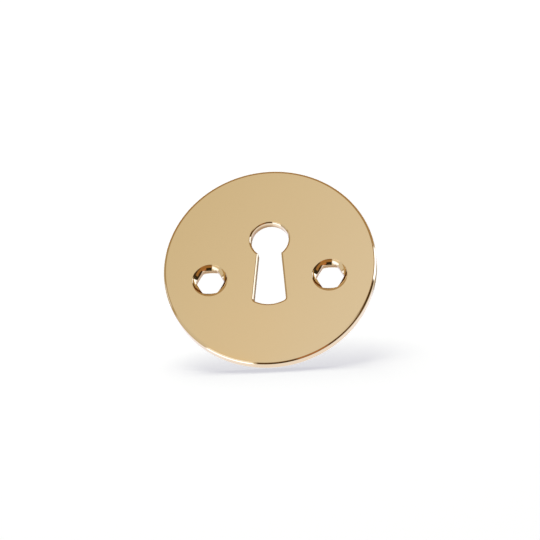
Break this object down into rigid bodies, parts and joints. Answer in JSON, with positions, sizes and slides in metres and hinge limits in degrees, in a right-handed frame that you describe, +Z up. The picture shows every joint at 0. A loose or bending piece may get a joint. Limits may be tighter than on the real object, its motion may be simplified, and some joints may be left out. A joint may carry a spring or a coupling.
{
  "type": "keyhole escutcheon",
  "caption": "Flat round brass plate with a keyhole, fixed over a furniture lock through a round-seated hexagonal hole on each side of it.",
  "frame": {"origin": "on the axis of the key, in the plane of the plate's back", "axes": "+Z up with the keyhole's round head at the top, front face along -Y, +Y into the furniture, +X to the viewer's right"},
  "size_m": [0.035, 0.002, 0.035],
  "materials": {
    "polished_brass": "mirror polished, pale gold"
  },
  "bodies": {
    "root": {"escutcheon_plate": "polished_brass"}
  },
  "joints": []
}
